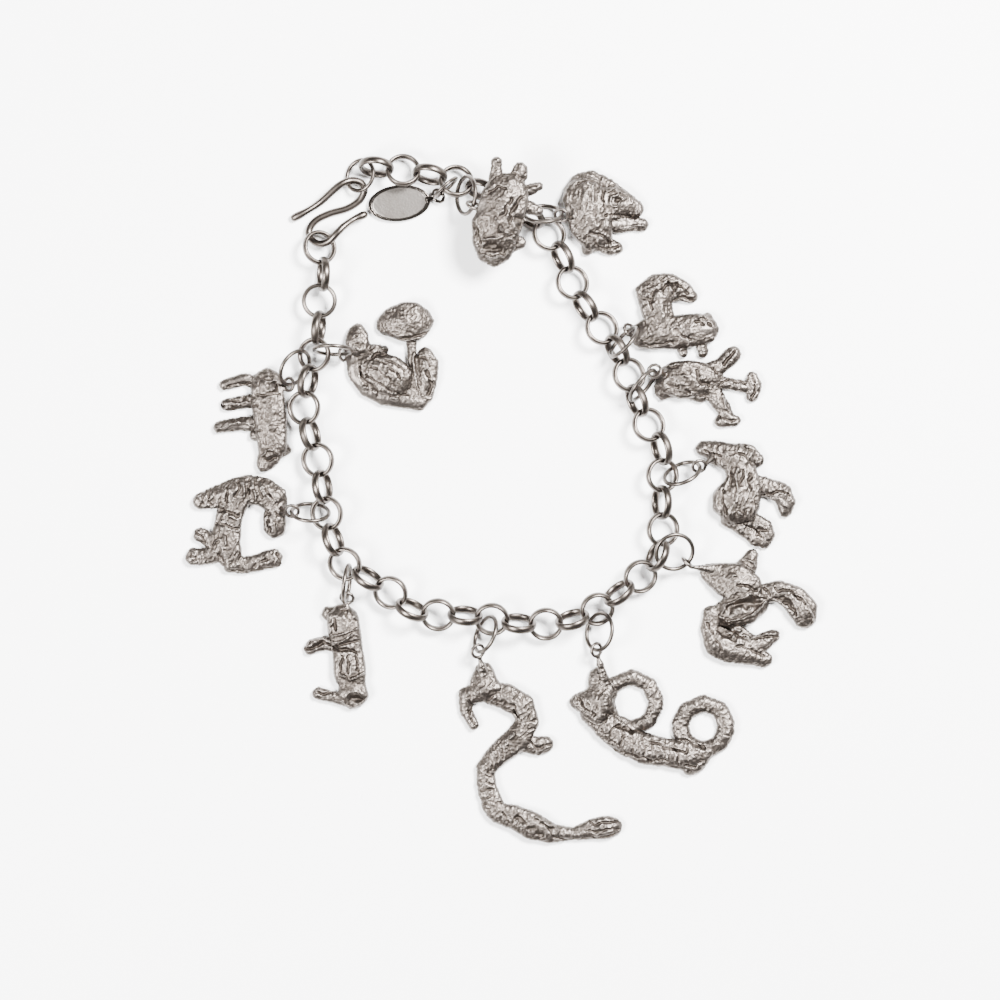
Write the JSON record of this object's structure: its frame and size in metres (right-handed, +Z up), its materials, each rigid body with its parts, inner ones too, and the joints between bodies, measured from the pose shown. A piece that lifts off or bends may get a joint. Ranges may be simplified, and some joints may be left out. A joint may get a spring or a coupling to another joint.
{
  "type": "charm bracelet",
  "caption": "Silver link-chain bracelet with an S-hook clasp, an oval tag and cast animal charms on jump rings, lying in a loop.",
  "frame": {"origin": "centre of the bounding box at its underside, the surface that the bracelet lies on", "axes": "+Y from the lowest charm towards the clasp, +X to the right as seen in the picture, +Z up from the surface"},
  "size_m": [0.0946, 0.103, 0.0089],
  "materials": {
    "polished_silver": "polished silver, lightly tarnished",
    "cast_silver": "cast silver, dark in its hollows",
    "satin_silver": "satin silver with a bright rim"
  },
  "bodies": {
    "root": {"chain": "polished_silver", "clasp_hook": "polished_silver", "end_ring": "polished_silver", "tag_ring": "polished_silver", "tag": "satin_silver", "ring_bull": "polished_silver", "charm_bull": "cast_silver", "ring_ram": "polished_silver", "charm_ram": "cast_silver", "ring_fox": "polished_silver", "charm_fox": "cast_silver", "ring_frog": "polished_silver", "charm_frog": "cast_silver", "ring_monkey": "polished_silver", "charm_monkey": "cast_silver", "ring_rooster": "polished_silver", "charm_rooster": "cast_silver", "ring_snake": "polished_silver", "charm_snake": "cast_silver", "ring_lizard": "polished_silver", "charm_lizard": "cast_silver", "ring_bear": "polished_silver", "charm_bear": "cast_silver", "ring_horse": "polished_silver", "charm_horse": "cast_silver", "ring_goat": "polished_silver", "charm_goat": "cast_silver", "ring_bird": "polished_silver", "charm_bird": "cast_silver"}
  },
  "joints": []
}
